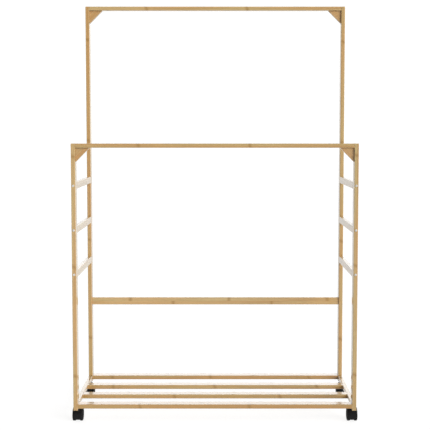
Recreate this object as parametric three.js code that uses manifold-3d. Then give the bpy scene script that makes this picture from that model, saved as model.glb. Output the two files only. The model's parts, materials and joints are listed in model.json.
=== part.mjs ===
// Rolling clothes rack in laminated bamboo: a tall back frame and a low front frame, joined by
// side rungs and a slatted shelf, on four twin-wheel casters.
// Millimetres. X runs across the rack, the tall frame stands at the back (+Y), Z is up, and the
// origin is on the floor under the middle of the rack.

import * as THREE from "three";
import { mergeVertices } from "three/addons/utils/BufferGeometryUtils.js";
import Module from "manifold-3d";

const wasm = await Module();
wasm.setup();

// Wooden frame
const FRAME_WIDTH = 1000;
const FRAME_DEPTH = 415;
const BACK_HEIGHT = 1518;
const FRONT_HEIGHT = 997;
const BAR_THICKNESS = 15;
const POST_DEPTH = 35;
const POST_FOOT = 54;
const RAIL_DEPTH = 25;
const EASED_EDGE = 1.5;
const EDGE_STEPS = 3;

// Side rungs, from the top one down
const RUNG_HEIGHT = 25;
const RUNG_TOP_CENTRE = 850;
const RUNG_SPACING = 156;

// Bar across the back posts
const CROSSBAR_HEIGHT = 28;
const CROSSBAR_CENTRE = 373;
const CROSSBAR_RECESS = 5;

// Shelf: slats laid flat between two side rails
const SHELF_TOP = 76;
const SLAT_DEPTH = 35;
const SLAT_FROM_FRONT = { slat_front: 0, slat_front_middle: 122, slat_back_middle: 245, slat_back: 380 };

// Corner blocks under the two hanging rails
const GUSSET_LEG = 50;
const GUSSET_RECESS = 7;

// Bolts with round socket heads
const BOLT_RADIUS = 3;
const BOLT_HOLE_RADIUS = 3.3;
const BOLT_HEAD_RADIUS = 4.25;
const BOLT_HEAD_HEIGHT = 2;
const BOLT_HEAD_EDGE = 0.8;
const BOLT_CROWN_RADIUS = 2.6;
const SOCKET_RADIUS = 1.75;
const SOCKET_DEPTH = 1.3;
const RUNG_BOLT_LENGTH = 60;
const RAIL_BOLT_LENGTH = 50;
const HOLE_SPARE_DEPTH = 2;
const BOLT_SIDES = 12;
const HEX_SIDES = 6;

// Casters: the swivel axis is under the side rail, and the wheels trail towards the rack's middle
const CASTER_INSET = 47;
const CASTER_TRAIL = 13;
const WHEEL_RADIUS = 23;
const WHEEL_INNER_FACE = 7.5;
const WHEEL_WIDTH = 10.5;
const TREAD_EDGE = 1.5;
const RIM_RADIUS = 19.5;
const DISH_RADIUS = 17;
const DISH_DEPTH = 1.6;
const HUB_RADIUS = 7.5;
const AXLE_RADIUS = 3;
const RUNNING_CLEARANCE = 0.1;
const AXLE_BORE_DEPTH = 8.5;
const AXLE_END_GAP = 0.3;
const HOOD_RADIUS = 27.5;
const HOOD_WALL = 2.9;
const HOOD_HALF_WIDTH = 18.2;
const HOOD_SHOULDER = 4;
const SHOULDER_STEPS = 3;
const WEB_HALF_WIDTH = 6.7;
const WEB_RADIUS = 21;
const WEB_FOOT = 4.5;
const HOOD_FRONT_LIP_ANGLE = 197;
const HOOD_BACK_LIP_ANGLE = 25;
const HOOD_TOP = 51.5;
const BOSS_RADIUS = 9.5;
const STEM_RADIUS = 3.9;
const STEM_CLEARANCE = 0.3;
const STEM_COLLAR_RADIUS = 7;
const STEM_COLLAR_FOOT = 52;
const STEM_FOOT = 31.5;
const STEM_IN_RAIL = 11;
const ROUND_SIDES = 28;
const SHAFT_SIDES = 16;

// Worked out from the driving dimensions
const HALF_WIDTH = FRAME_WIDTH / 2;
const HALF_DEPTH = FRAME_DEPTH / 2;
const POST_INNER_X = HALF_WIDTH - BAR_THICKNESS;
const POST_INNER_Y = HALF_DEPTH - POST_DEPTH;
const POST_CENTRE_X = HALF_WIDTH - BAR_THICKNESS / 2;
const SHELF_FOOT = SHELF_TOP - BAR_THICKNESS;
const CASTER_Y = HALF_DEPTH - CASTER_INSET;

const SIDES = { left: -1, right: 1 };
const ENDS = { front: -1, back: 1 };
const RUNG_LEVELS = { top: 0, middle: 1, bottom: 2 };
const FRAME_TOP = { front: FRONT_HEIGHT, back: BACK_HEIGHT };
// The hanging rails, gussets and slats are all set from the front face of their own frame
const FRAME_FACE_Y = { front: -HALF_DEPTH, back: HALF_DEPTH - POST_DEPTH };

const FINISHES = {
  bamboo: { color: 0xcfa36b, roughness: 0.42, metalness: 0 },
  bolt_steel: { color: 0xc9ccd0, roughness: 0.3, metalness: 1 },
  caster_plastic: { color: 0x26272a, roughness: 0.55, metalness: 0 },
  wheel_plastic: { color: 0x151517, roughness: 0.6, metalness: 0 },
};

// World directions, and for a piece along each axis the two axes of its section, right-handed
const UNIT = {
  x: new THREE.Vector3(1, 0, 0),
  y: new THREE.Vector3(0, 1, 0),
  z: new THREE.Vector3(0, 0, 1),
};
const SECTION_AXES = { x: ["y", "z"], y: ["z", "x"], z: ["x", "y"] };

const rack = new THREE.Group();

// --- Shared shapes ---------------------------------------------------------------------------

function add(name, geometry, finish, position = new THREE.Vector3(), parent = rack) {
  const mesh = new THREE.Mesh(geometry, new THREE.MeshStandardMaterial(FINISHES[finish]));
  mesh.name = name;
  mesh.position.copy(position);
  parent.add(mesh);
}

function toSolid(geometry) {
  const bare = geometry.clone();
  bare.deleteAttribute("normal");
  bare.deleteAttribute("uv");
  const merged = mergeVertices(bare);
  return new wasm.Manifold(new wasm.Mesh({
    numProp: 3,
    vertProperties: merged.attributes.position.array,
    triVerts: merged.index.array,
  }));
}

function toGeometry(solid) {
  const mesh = solid.getMesh();
  const geometry = new THREE.BufferGeometry();
  geometry.setAttribute("position", new THREE.BufferAttribute(mesh.vertProperties, 3));
  geometry.setIndex(new THREE.BufferAttribute(mesh.triVerts, 1));
  geometry.computeVertexNormals();
  return geometry;
}

// Extrudes a flat shape along an axis, with the middle of its length at the origin
function extrudeAlong(axis, shape, length, steps = EDGE_STEPS) {
  const geometry = new THREE.ExtrudeGeometry(shape, {
    depth: length,
    bevelEnabled: false,
    curveSegments: steps,
  });
  geometry.translate(0, 0, -length / 2);
  const [across, up] = SECTION_AXES[axis];
  return geometry.applyMatrix4(new THREE.Matrix4().makeBasis(UNIT[across], UNIT[up], UNIT[axis]));
}

// Turns a profile of [radius, distance along] points about an axis through the origin
function turnAbout(axis, profile, sides) {
  const points = profile.map(([radius, along]) => new THREE.Vector2(radius, along));
  const geometry = new THREE.LatheGeometry(points, sides);
  const [across, up] = SECTION_AXES[axis];
  return geometry.applyMatrix4(new THREE.Matrix4().makeBasis(UNIT[up], UNIT[axis], UNIT[across]));
}

function rod(axis, radius, length, sides) {
  const half = length / 2;
  return turnAbout(axis, [[0, -half], [radius, -half], [radius, half], [0, half]], sides);
}

function roundedRectangle(width, height, radius) {
  const x = width / 2 - radius;
  const y = height / 2 - radius;
  const shape = new THREE.Shape();
  shape.absarc(x, y, radius, 0, Math.PI / 2);
  shape.absarc(-x, y, radius, Math.PI / 2, Math.PI);
  shape.absarc(-x, -y, radius, Math.PI, 1.5 * Math.PI);
  shape.absarc(x, -y, radius, 1.5 * Math.PI, 2 * Math.PI);
  return shape;
}

// A wooden bar that fills the box between two corners, with its four long edges eased. Each hole
// is a straight bore that starts on the bar's surface and runs along a direction.
function addBar(name, axis, low, high, holes = []) {
  const centre = low.clone().add(high).divideScalar(2);
  const size = high.clone().sub(low);
  const [across, up] = SECTION_AXES[axis];
  const section = roundedRectangle(size[across], size[up], EASED_EDGE);
  let geometry = extrudeAlong(axis, section, size[axis]);
  if (holes.length > 0) {
    let solid = toSolid(geometry);
    for (const hole of holes) {
      const drill = boreTool(hole);
      drill.translate(-centre.x, -centre.y, -centre.z);
      solid = solid.subtract(toSolid(drill));
    }
    geometry = toGeometry(solid);
  }
  add(name, geometry, "bamboo", centre);
}

// The material that a drill takes away, with some spare length outside the mouth of the bore
function boreTool({ mouth, axis, direction, radius, depth, sides = BOLT_SIDES }) {
  const length = depth + HOLE_SPARE_DEPTH;
  const tool = rod(axis, radius, length, sides);
  const middle = mouth.clone().addScaledVector(UNIT[axis], direction * (depth - length / 2));
  return tool.translate(middle.x, middle.y, middle.z);
}

// --- Wooden frame ----------------------------------------------------------------------------

function rungCentre(level) {
  return RUNG_TOP_CENTRE - RUNG_LEVELS[level] * RUNG_SPACING;
}

// The middle of a hanging rail's section, where its end bolts run
function railCentre(end) {
  return { y: FRAME_FACE_Y[end] + RAIL_DEPTH / 2, z: FRAME_TOP[end] - BAR_THICKNESS / 2 };
}

// The low and high corners of a box on one side of the rack, from its inner and outer x there
function mirroredBox(side, innerX, outerX, lowY, highY, lowZ, highZ) {
  const xs = [side * innerX, side * outerX].sort((a, b) => a - b);
  return [new THREE.Vector3(xs[0], lowY, lowZ), new THREE.Vector3(xs[1], highY, highZ)];
}

function addPost(endName, sideName) {
  const end = ENDS[endName];
  const side = SIDES[sideName];
  const faceY = FRAME_FACE_Y[endName];
  const [low, high] = mirroredBox(
    side, POST_INNER_X, HALF_WIDTH, faceY, faceY + POST_DEPTH, POST_FOOT, FRAME_TOP[endName]);
  const holes = Object.keys(RUNG_LEVELS).map((level) => ({
    mouth: new THREE.Vector3(side * POST_CENTRE_X, end * HALF_DEPTH, rungCentre(level)),
    axis: "y",
    direction: -end,
    radius: BOLT_HOLE_RADIUS,
    depth: POST_DEPTH + HOLE_SPARE_DEPTH,
  }));
  const rail = railCentre(endName);
  holes.push({
    mouth: new THREE.Vector3(side * HALF_WIDTH, rail.y, rail.z),
    axis: "x",
    direction: -side,
    radius: BOLT_HOLE_RADIUS,
    depth: BAR_THICKNESS + HOLE_SPARE_DEPTH,
  });
  addBar(`post_${endName}_${sideName}`, "z", low, high, holes);
}

function addHangingRail(endName) {
  const { y, z } = railCentre(endName);
  const low = new THREE.Vector3(-POST_INNER_X, y - RAIL_DEPTH / 2, z - BAR_THICKNESS / 2);
  const high = new THREE.Vector3(POST_INNER_X, y + RAIL_DEPTH / 2, z + BAR_THICKNESS / 2);
  const holes = Object.values(SIDES).map((side) => ({
    mouth: new THREE.Vector3(side * POST_INNER_X, y, z),
    axis: "x",
    direction: -side,
    radius: BOLT_HOLE_RADIUS,
    depth: RAIL_BOLT_LENGTH - BAR_THICKNESS + HOLE_SPARE_DEPTH,
  }));
  addBar(`hanging_rail_${endName}`, "x", low, high, holes);
}

// A right-angled block in the corner between a post and a hanging rail
function addGusset(endName, sideName) {
  const side = SIDES[sideName];
  const triangle = new THREE.Shape();
  triangle.moveTo(0, 0);
  triangle.lineTo(-GUSSET_LEG, 0);
  triangle.lineTo(0, -side * GUSSET_LEG);
  triangle.closePath();
  const corner = new THREE.Vector3(
    side * POST_INNER_X,
    FRAME_FACE_Y[endName] + GUSSET_RECESS + BAR_THICKNESS / 2,
    FRAME_TOP[endName] - BAR_THICKNESS);
  const block = extrudeAlong("y", triangle, BAR_THICKNESS);
  add(`gusset_${endName}_${sideName}`, block, "bamboo", corner);
}

function addRung(sideName, level) {
  const side = SIDES[sideName];
  const centre = rungCentre(level);
  const [low, high] = mirroredBox(
    side, POST_INNER_X, HALF_WIDTH, -POST_INNER_Y, POST_INNER_Y,
    centre - RUNG_HEIGHT / 2, centre + RUNG_HEIGHT / 2);
  const holes = Object.values(ENDS).map((end) => ({
    mouth: new THREE.Vector3(side * POST_CENTRE_X, end * POST_INNER_Y, centre),
    axis: "y",
    direction: -end,
    radius: BOLT_HOLE_RADIUS,
    depth: RUNG_BOLT_LENGTH - POST_DEPTH + HOLE_SPARE_DEPTH,
  }));
  addBar(`rung_${sideName}_${level}`, "y", low, high, holes);
}

function addCrossbar() {
  const faceY = FRAME_FACE_Y.back + CROSSBAR_RECESS;
  const low = new THREE.Vector3(-POST_INNER_X, faceY, CROSSBAR_CENTRE - CROSSBAR_HEIGHT / 2);
  const high = new THREE.Vector3(
    POST_INNER_X, faceY + BAR_THICKNESS, CROSSBAR_CENTRE + CROSSBAR_HEIGHT / 2);
  addBar("crossbar_back", "x", low, high);
}

function addShelfRail(sideName) {
  const side = SIDES[sideName];
  const [low, high] = mirroredBox(
    side, POST_INNER_X, HALF_WIDTH, -POST_INNER_Y, POST_INNER_Y, SHELF_FOOT, SHELF_TOP);
  const holes = Object.values(ENDS).map((end) => ({
    mouth: new THREE.Vector3(side * POST_CENTRE_X, end * CASTER_Y, SHELF_FOOT),
    axis: "z",
    direction: 1,
    radius: STEM_RADIUS + STEM_CLEARANCE,
    depth: STEM_IN_RAIL + STEM_CLEARANCE,
    sides: SHAFT_SIDES,
  }));
  addBar(`shelf_rail_${sideName}`, "y", low, high, holes);
}

function addSlat(name) {
  const faceY = -HALF_DEPTH + SLAT_FROM_FRONT[name];
  const low = new THREE.Vector3(-POST_INNER_X, faceY, SHELF_FOOT);
  const high = new THREE.Vector3(POST_INNER_X, faceY + SLAT_DEPTH, SHELF_TOP);
  addBar(name, "x", low, high);
}

// --- Bolts -----------------------------------------------------------------------------------

// The bolt's shank runs from the surface at the seat inwards, and its head stands on the surface
function addBolt(name, axis, outwards, seat, length) {
  const along = (distance) => outwards * distance;
  const profile = [
    [0, along(-length)],
    [BOLT_RADIUS, along(-length)],
    [BOLT_RADIUS, 0],
    [BOLT_HEAD_RADIUS, 0],
    [BOLT_HEAD_RADIUS, along(BOLT_HEAD_EDGE)],
    [BOLT_CROWN_RADIUS, along(BOLT_HEAD_HEIGHT)],
    [0, along(BOLT_HEAD_HEIGHT)],
  ];
  if (outwards < 0) profile.reverse();
  const socket = rod(axis, SOCKET_RADIUS, 2 * SOCKET_DEPTH, HEX_SIDES);
  socket.translate(...UNIT[axis].clone().multiplyScalar(along(BOLT_HEAD_HEIGHT)).toArray());
  const bolt = toSolid(turnAbout(axis, profile, BOLT_SIDES)).subtract(toSolid(socket));
  add(name, toGeometry(bolt), "bolt_steel", seat);
}

function addRungBolt(endName, sideName, level) {
  const seat = new THREE.Vector3(
    SIDES[sideName] * POST_CENTRE_X, ENDS[endName] * HALF_DEPTH, rungCentre(level));
  addBolt(`rung_bolt_${endName}_${sideName}_${level}`, "y", ENDS[endName], seat, RUNG_BOLT_LENGTH);
}

function addRailBolt(endName, sideName) {
  const rail = railCentre(endName);
  const seat = new THREE.Vector3(SIDES[sideName] * HALF_WIDTH, rail.y, rail.z);
  addBolt(`rail_bolt_${endName}_${sideName}`, "x", SIDES[sideName], seat, RAIL_BOLT_LENGTH);
}

// --- Casters ---------------------------------------------------------------------------------

// Threaded stem with a round collar under the side rail, about its own axis, heights from the floor
function stemGeometry() {
  return turnAbout("z", [
    [0, STEM_FOOT],
    [STEM_RADIUS, STEM_FOOT],
    [STEM_RADIUS, STEM_COLLAR_FOOT],
    [STEM_COLLAR_RADIUS, STEM_COLLAR_FOOT],
    [STEM_COLLAR_RADIUS, SHELF_FOOT],
    [STEM_RADIUS, SHELF_FOOT],
    [STEM_RADIUS, SHELF_FOOT + STEM_IN_RAIL],
    [0, SHELF_FOOT + STEM_IN_RAIL],
  ], SHAFT_SIDES);
}

// A front caster's hood about the axle's centre: a barrel with a boss for the stem, hollowed for
// the two wheels on each side of a middle web, and cut away below and behind
function hoodGeometry() {
  const shoulder = [];
  for (let step = 0; step <= SHOULDER_STEPS; step++) {
    const angle = (step / SHOULDER_STEPS) * (Math.PI / 2);
    shoulder.push([
      HOOD_RADIUS - HOOD_SHOULDER * (1 - Math.sin(angle)),
      HOOD_HALF_WIDTH - HOOD_SHOULDER * (1 - Math.cos(angle)),
    ]);
  }
  const mirrored = shoulder.map(([radius, along]) => [radius, -along]);
  const barrel = turnAbout("x", [
    [0, -HOOD_HALF_WIDTH],
    ...mirrored,
    ...shoulder.reverse(),
    [0, HOOD_HALF_WIDTH],
  ], ROUND_SIDES);

  const bossHeight = HOOD_TOP - WHEEL_RADIUS;
  const boss = rod("z", BOSS_RADIUS, bossHeight, SHAFT_SIDES);
  boss.translate(0, -CASTER_TRAIL, bossHeight / 2);

  const cavityRadius = HOOD_RADIUS - HOOD_WALL;
  const cavityDepth = HOOD_HALF_WIDTH - WEB_HALF_WIDTH + HOOD_SHOULDER;
  const cavities = Object.values(SIDES).map((side) => {
    const cavity = rod("x", cavityRadius, cavityDepth, ROUND_SIDES);
    return cavity.translate(side * (WEB_HALF_WIDTH + cavityDepth / 2), 0, 0);
  });

  const clearAll = 2 * HOOD_RADIUS;
  const opening = new THREE.Shape();
  const openingStart = THREE.MathUtils.degToRad(HOOD_FRONT_LIP_ANGLE);
  const openingEnd = THREE.MathUtils.degToRad(HOOD_BACK_LIP_ANGLE + 360);
  opening.absarc(0, 0, clearAll, openingStart, openingEnd, false);
  opening.absarc(0, 0, WEB_RADIUS, openingEnd, openingStart, true);
  const openSector = extrudeAlong("x", opening, clearAll, SHAFT_SIDES);

  const belowFoot = new THREE.BoxGeometry(clearAll, clearAll, clearAll);
  belowFoot.translate(0, 0, WEB_FOOT - WHEEL_RADIUS - clearAll / 2);

  const axleBore = rod("x", AXLE_RADIUS + RUNNING_CLEARANCE, clearAll, SHAFT_SIDES);
  const stemBoreLength = HOOD_TOP - STEM_FOOT + STEM_CLEARANCE;
  const stemBore = boreTool({
    mouth: new THREE.Vector3(0, -CASTER_TRAIL, HOOD_TOP - WHEEL_RADIUS),
    axis: "z",
    direction: -1,
    radius: STEM_RADIUS + STEM_CLEARANCE,
    depth: stemBoreLength,
    sides: SHAFT_SIDES,
  });

  let hood = toSolid(barrel).add(toSolid(boss));
  for (const cut of [...cavities, openSector, belowFoot, axleBore, stemBore]) {
    hood = hood.subtract(toSolid(cut));
  }
  return toGeometry(hood);
}

// A wheel about the axle's centre, on the side given, with a blind bore in its inner face
function wheelGeometry(side) {
  const at = (distance) => side * (WHEEL_INNER_FACE + distance);
  const bore = AXLE_RADIUS + RUNNING_CLEARANCE;
  const profile = [
    [0, at(AXLE_BORE_DEPTH)],
    [bore, at(AXLE_BORE_DEPTH)],
    [bore, at(0)],
    [WHEEL_RADIUS - TREAD_EDGE, at(0)],
    [WHEEL_RADIUS, at(TREAD_EDGE)],
    [WHEEL_RADIUS, at(WHEEL_WIDTH - TREAD_EDGE)],
    [WHEEL_RADIUS - TREAD_EDGE, at(WHEEL_WIDTH)],
    [RIM_RADIUS, at(WHEEL_WIDTH)],
    [DISH_RADIUS, at(WHEEL_WIDTH - DISH_DEPTH)],
    [HUB_RADIUS, at(WHEEL_WIDTH - DISH_DEPTH)],
    [HUB_RADIUS - TREAD_EDGE, at(WHEEL_WIDTH)],
    [0, at(WHEEL_WIDTH)],
  ];
  if (side < 0) profile.reverse();
  return turnAbout("x", profile, ROUND_SIDES);
}

function addCaster(endName, sideName) {
  const place = `${endName}_${sideName}`;
  const caster = new THREE.Group();
  caster.position.set(SIDES[sideName] * POST_CENTRE_X, ENDS[endName] * CASTER_Y, 0);
  rack.add(caster);
  add(`caster_stem_${place}`, stemGeometry(), "bolt_steel", new THREE.Vector3(), caster);

  const axleCentre = new THREE.Vector3(0, -ENDS[endName] * CASTER_TRAIL, WHEEL_RADIUS);
  const hood = hoodGeometry();
  if (endName === "back") hood.rotateZ(Math.PI);
  add(`caster_hood_${place}`, hood, "caster_plastic", axleCentre, caster);
  const axleLength = 2 * (WHEEL_INNER_FACE + AXLE_BORE_DEPTH - AXLE_END_GAP);
  const axle = rod("x", AXLE_RADIUS, axleLength, SHAFT_SIDES);
  add(`caster_axle_${place}`, axle, "bolt_steel", axleCentre, caster);
  for (const [wheelName, wheelSide] of Object.entries(SIDES)) {
    const wheel = wheelGeometry(wheelSide);
    add(`caster_wheel_${place}_${wheelName}`, wheel, "wheel_plastic", axleCentre, caster);
  }
}

// --- Assembly --------------------------------------------------------------------------------

for (const endName of Object.keys(ENDS)) {
  addHangingRail(endName);
  for (const sideName of Object.keys(SIDES)) {
    addPost(endName, sideName);
    addGusset(endName, sideName);
    addRailBolt(endName, sideName);
    addCaster(endName, sideName);
  }
}
for (const sideName of Object.keys(SIDES)) {
  addShelfRail(sideName);
  for (const level of Object.keys(RUNG_LEVELS)) {
    addRung(sideName, level);
    for (const endName of Object.keys(ENDS)) {
      addRungBolt(endName, sideName, level);
    }
  }
}
for (const name of Object.keys(SLAT_FROM_FRONT)) {
  addSlat(name);
}
addCrossbar();

export default rack;
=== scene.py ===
"""Looks of the rolling clothes rack: lacquered bamboo bars, bright bolts and black twin-wheel
casters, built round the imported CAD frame. Metres, X across the rack, +Y to the back, Z up."""

import json
import math
import random

import bmesh
import bpy
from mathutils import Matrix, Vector


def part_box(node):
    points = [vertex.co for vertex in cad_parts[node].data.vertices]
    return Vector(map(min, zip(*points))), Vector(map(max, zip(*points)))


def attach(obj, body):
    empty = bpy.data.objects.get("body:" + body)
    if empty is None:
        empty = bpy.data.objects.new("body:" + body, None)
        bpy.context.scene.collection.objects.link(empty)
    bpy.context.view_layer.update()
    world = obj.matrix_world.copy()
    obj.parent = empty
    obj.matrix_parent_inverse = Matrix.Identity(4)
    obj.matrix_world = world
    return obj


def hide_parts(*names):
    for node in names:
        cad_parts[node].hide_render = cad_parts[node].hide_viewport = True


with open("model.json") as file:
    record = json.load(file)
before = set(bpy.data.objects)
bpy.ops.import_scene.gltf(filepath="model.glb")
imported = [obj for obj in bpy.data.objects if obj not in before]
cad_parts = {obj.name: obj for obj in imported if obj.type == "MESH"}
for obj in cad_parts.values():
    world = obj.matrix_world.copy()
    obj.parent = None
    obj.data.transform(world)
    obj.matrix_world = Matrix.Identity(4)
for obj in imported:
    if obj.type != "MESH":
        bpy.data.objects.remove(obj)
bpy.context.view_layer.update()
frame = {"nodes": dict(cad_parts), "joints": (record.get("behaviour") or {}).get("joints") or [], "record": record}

MM = 0.001
SIDES = {"left": -1, "right": 1}
ENDS = ("front", "back")
AXES = (Vector((1, 0, 0)), Vector((0, 1, 0)), Vector((0, 0, 1)))

# Bamboo bars
BAR_ROUND = 1.5 * MM
GUSSET_ROUND = 1.0 * MM
ROUND_STEPS = 5
EDGE_BLEND = 1.6 * MM
END_BEVEL = 0.5 * MM
BAR_SHARP_DEGREES = 32
BAMBOO_SEED = 7

# Make-up of the bamboo. A pair is where a mark is full and where it has gone
PLY_THICKNESS = 5 * MM
GLUE_LINE = (0.05 * MM, 0.3 * MM)
NODE_SPACING = 0.387
NODE_LINE = (0.3 * MM, 2.4 * MM)
NODE_HALO = (1.5 * MM, 11 * MM)
NODE_ASKEW = 4 * MM
SECOND_STRIP_SHIFT = 0.168
PLY_SHIFT = 1.5 * MM
# Where one growth node of the bamboo crosses each bar, along the bar's own length
NODE_AT = {
    "post_front_left": 0.567,
    "post_front_right": 0.572,
    "post_back_left": 0.618,
    "post_back_right": 0.612,
    "hanging_rail_front": -0.263,
    "hanging_rail_back": -0.263,
    "crossbar_back": -0.166,
    "slat_front": -0.263,
    "slat_front_middle": -0.147,
    "slat_back_middle": 0.001,
    "slat_back": -0.017,
}

# Noise in the bamboo, as the scales along the fibres, through the board and across it
FIBRE_SCALE = (9.0, 1100.0, 1100.0)
STREAK_SCALE = (2.5, 190.0, 190.0)
CLOUD_SCALE = (7.0, 60.0, 60.0)
DRIFT_SCALE = (3.0, 90.0, 90.0)
ASKEW_SCALE = (20.0, 70.0, 70.0)
PORE_SCALE = 1500.0
BOARD_OFFSET = 3.7

# Tones of the bamboo: a bar's own random tone runs from 0 to 1, and higher is warmer
SLAT_TONE = 1.0
GUSSET_TONE = 2.1
STRIP_HUE_SHARE = 0.4
DRIFT_HUE = (0.35, 0.65, 0.0, 0.7)
TONE_HUE_SHARE = 0.2
STRIP_TONE_SHARE = 0.5
TONE_SHARE = 0.18
STREAK_SHARE = 0.7
WARMTH = (0.2, 1.15)

# Colours of the bamboo, the first of a pair yellower and the second redder
PALE = ((0.685, 0.53, 0.25), (0.72, 0.462, 0.2))
WARM = ((0.50, 0.35, 0.122), (0.55, 0.285, 0.088))
CLOUD_BROWN = (0.44, 0.24, 0.08)
FIBRE_BROWN = (0.40, 0.24, 0.09)
HALO_BROWN = (0.40, 0.215, 0.05)
LINE_BROWN = (0.27, 0.125, 0.03)
GLUE_BROWN = (0.27, 0.135, 0.05)
WORN_TAN = (0.74, 0.56, 0.33)
# The cream is painted sheen: the lacquer's reflection painted into the colour at slanting views
PAINTED_SHEEN_CREAM = (0.50, 0.46, 0.34)
PORE_BROWN = (0.26, 0.15, 0.07)
SAWN_TAN = (0.55, 0.37, 0.19)

# How much of the ground colour each mark covers: a share, or the span of the noise that it
# follows with the cover at either end
CLOUD_COVER = (0.45, 0.8, 0.0, 0.35)
FIBRE_COVER = (0.28, 0.62, 0.35, 0.0)
HALO_COVER = 0.6
LINE_COVER = 0.25
GLUE_COVER = 0.35
WORN_COVER = (0.35, 0.65, 0.05, 0.25)
# The cover of the painted sheen, over the slant of the view along the surface
PAINTED_SHEEN_COVER = (0.6, 0.78, 0.0, 0.4)
PORE_SPAN = (0.1, 0.5)

# Gloss and relief of the lacquer
LACQUER_ROUGHNESS = 0.27
FIBRE_ROUGHNESS = 0.16
SAWN_ROUGHNESS = 0.25
HALO_ROUGHNESS = 0.08
FIBRE_RELIEF = 0.35
RIDGE_RELIEF = 0.5
LINE_RELIEF = 0.4
BAMBOO_RELIEF = 0.12 * MM
BAMBOO_RELIEF_STRENGTH = 0.6
COAT_ROUGHNESS = 0.14

# Steel and plastic
BOLT_STEEL = {
    "tint": (0.97, 0.94, 0.88),
    "metallic": 0.3,
    "roughness": 0.35,
    "mark_scale": (2200.0, 2200.0, 2200.0),
}
CASTER_STEEL = {
    "tint": (0.70, 0.71, 0.73),
    "metallic": 1.0,
    "roughness": 0.28,
    "mark_scale": (300.0, 300.0, 2500.0),
}
PLATING_SCALE = 900.0
PLATING_SPAN = (0.3, 0.75)
PLATING_SHADE = 0.8
MARK_ROUGHNESS = 0.2
STEEL_RELIEF = 0.02 * MM
STEEL_RELIEF_STRENGTH = 0.5
HOOD_PLASTIC = {
    "base": (0.0105, 0.0107, 0.0111),
    "worn": (0.05, 0.051, 0.052),
    "roughness": 0.4,
    "skin_scale": 2600.0,
    "skin_depth": 0.05 * MM,
}
WHEEL_PLASTIC = {
    "base": (0.0035, 0.0035, 0.0037),
    "worn": (0.02, 0.02, 0.021),
    "roughness": 0.45,
    "skin_scale": 1800.0,
    "skin_depth": 0.03 * MM,
}
PLASTIC_MOTTLE_SCALE = 120.0
PLASTIC_MOTTLE = (0.3, 0.7, 0.0, 0.5)
PLASTIC_PALER = 1.5
PLASTIC_SPECULAR = 0.18
SCUFF_SPAN = (0.35, 0.7, 0.15, 0.8)
SKIN_ROUGHNESS = 0.22
SKIN_RELIEF_STRENGTH = 0.7

# Bolts
BOLT_HEAD_RADIUS = 4.25 * MM
BOLT_HEAD_HEIGHT = 2.0 * MM
BOLT_HEAD_EASE = 0.2 * MM
BOLT_RIM_HEIGHT = 0.7 * MM
# The round of the head above its rim, as radius and height in millimetres
BOLT_CROWN = ((4.05, 1.15), (3.6, 1.55), (3.0, 1.82), (2.4, 2.0), (2.0, 2.0))
BOLT_SHANK_RADIUS = 3.0 * MM
BOLT_POINT = 0.6 * MM
SOCKET_SIDES = 6
SOCKET_APOTHEM = 1.5 * MM
SOCKET_EASE = 0.15 * MM
SOCKET_DEPTH = 1.3 * MM
SOCKET_POINT = 0.4 * MM
BOLT_SEGMENTS = 48

# Wheels, about the centre of the axle
WHEEL_SEGMENTS = 96
WHEEL_INNER = 7.5 * MM
BORE_RADIUS = 3.1 * MM
BORE_DEPTH = 8.5 * MM
# The tread from the wheel's inner face outwards, as the inset from its full radius and the
# distance from that face, then the outer face from the rim to the hub, as radius and distance,
# all in millimetres
WHEEL_TREAD = (
    (2.0, 0.0), (1.1, 0.35), (0.35, 1.1), (0.05, 2.0), (0.0, 3.2), (0.0, 6.6),
    (0.05, 8.2), (0.35, 9.2), (1.0, 9.9), (1.9, 10.35), (2.8, 10.5),
)
WHEEL_FACE = (
    (19.2, 10.5), (18.4, 10.2), (17.6, 9.2), (16.8, 8.8), (8.4, 8.8), (7.8, 9.2),
    (7.3, 10.0), (6.4, 10.4), (3.0, 10.5), (0.0, 10.5),
)
# A rib's back and front, then its radius and half its breadth at the hub and at the rim
RIB_COUNT = 8
RIB_DISTANCES = (8.2, 9.8)
RIB_ENDS = ((7.0, 1.1), (17.9, 0.8))
BLOCK_FACES = ((0, 1, 3, 2), (4, 6, 7, 5), (0, 4, 5, 1), (2, 3, 7, 6), (0, 2, 6, 4), (1, 5, 7, 3))

# Hoods, about the centre of the axle
HOOD_SEGMENTS = 96
CASTER_TRAIL = 13 * MM
HOOD_RADIUS = 27.5 * MM
HOOD_WALL = 2.9 * MM
HOOD_HALF_WIDTH = 18.2 * MM
HOOD_SHOULDER = 5.5 * MM
SHOULDER_STEPS = 10
CUTTER_REACH = 2 * HOOD_RADIUS
BELOW_REACH = 4 * CUTTER_REACH
WEB_HALF_WIDTH = 6.7 * MM
WEB_RADIUS = 21 * MM
WEB_FOOT = 4.5 * MM
HOOD_TOP = 51.5 * MM
OPENING_DEGREES = (197, 385)
LOWER_HALF_DEGREES = (180, 360)
SECTOR_STEPS = 64
SECTOR_TIP = 0.1 * MM
BOSS_RADIUS = 9.5 * MM
BOSS_EASE = 0.8 * MM
BOSS_EASE_MIDDLE = 0.25 * MM

# Stems
STEM_BORE_RADIUS = 4.2 * MM
STEM_BORE_DEPTH = 20.3 * MM
STEM_RADIUS = 3.9 * MM
STEM_EASE = 0.5 * MM
COLLAR_GAP = 0.5 * MM
COLLAR_RADIUS = 7.0 * MM
COLLAR_FOOT_EASE = 0.6 * MM
COLLAR_GROOVE_DEPTH = 0.5 * MM
# Where the groove round the collar starts, where it is deep, and where it ends
COLLAR_GROOVE = (2.4 * MM, 2.9 * MM, 3.5 * MM, 4.0 * MM)

# Finish of the moulded and turned pieces
WELD_REACH = 0.1 * MM
WELD_SLIVER = WELD_REACH / 4
WELD_FLAT_DEGREES = 0.5
MOULD_ROUND = 0.35 * MM
MOULD_ROUND_STEPS = 2
MOULD_EDGE_DEGREES = 35
WEAR_DEGREES = 25
TURNED_SHARP_DEGREES = 40

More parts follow.
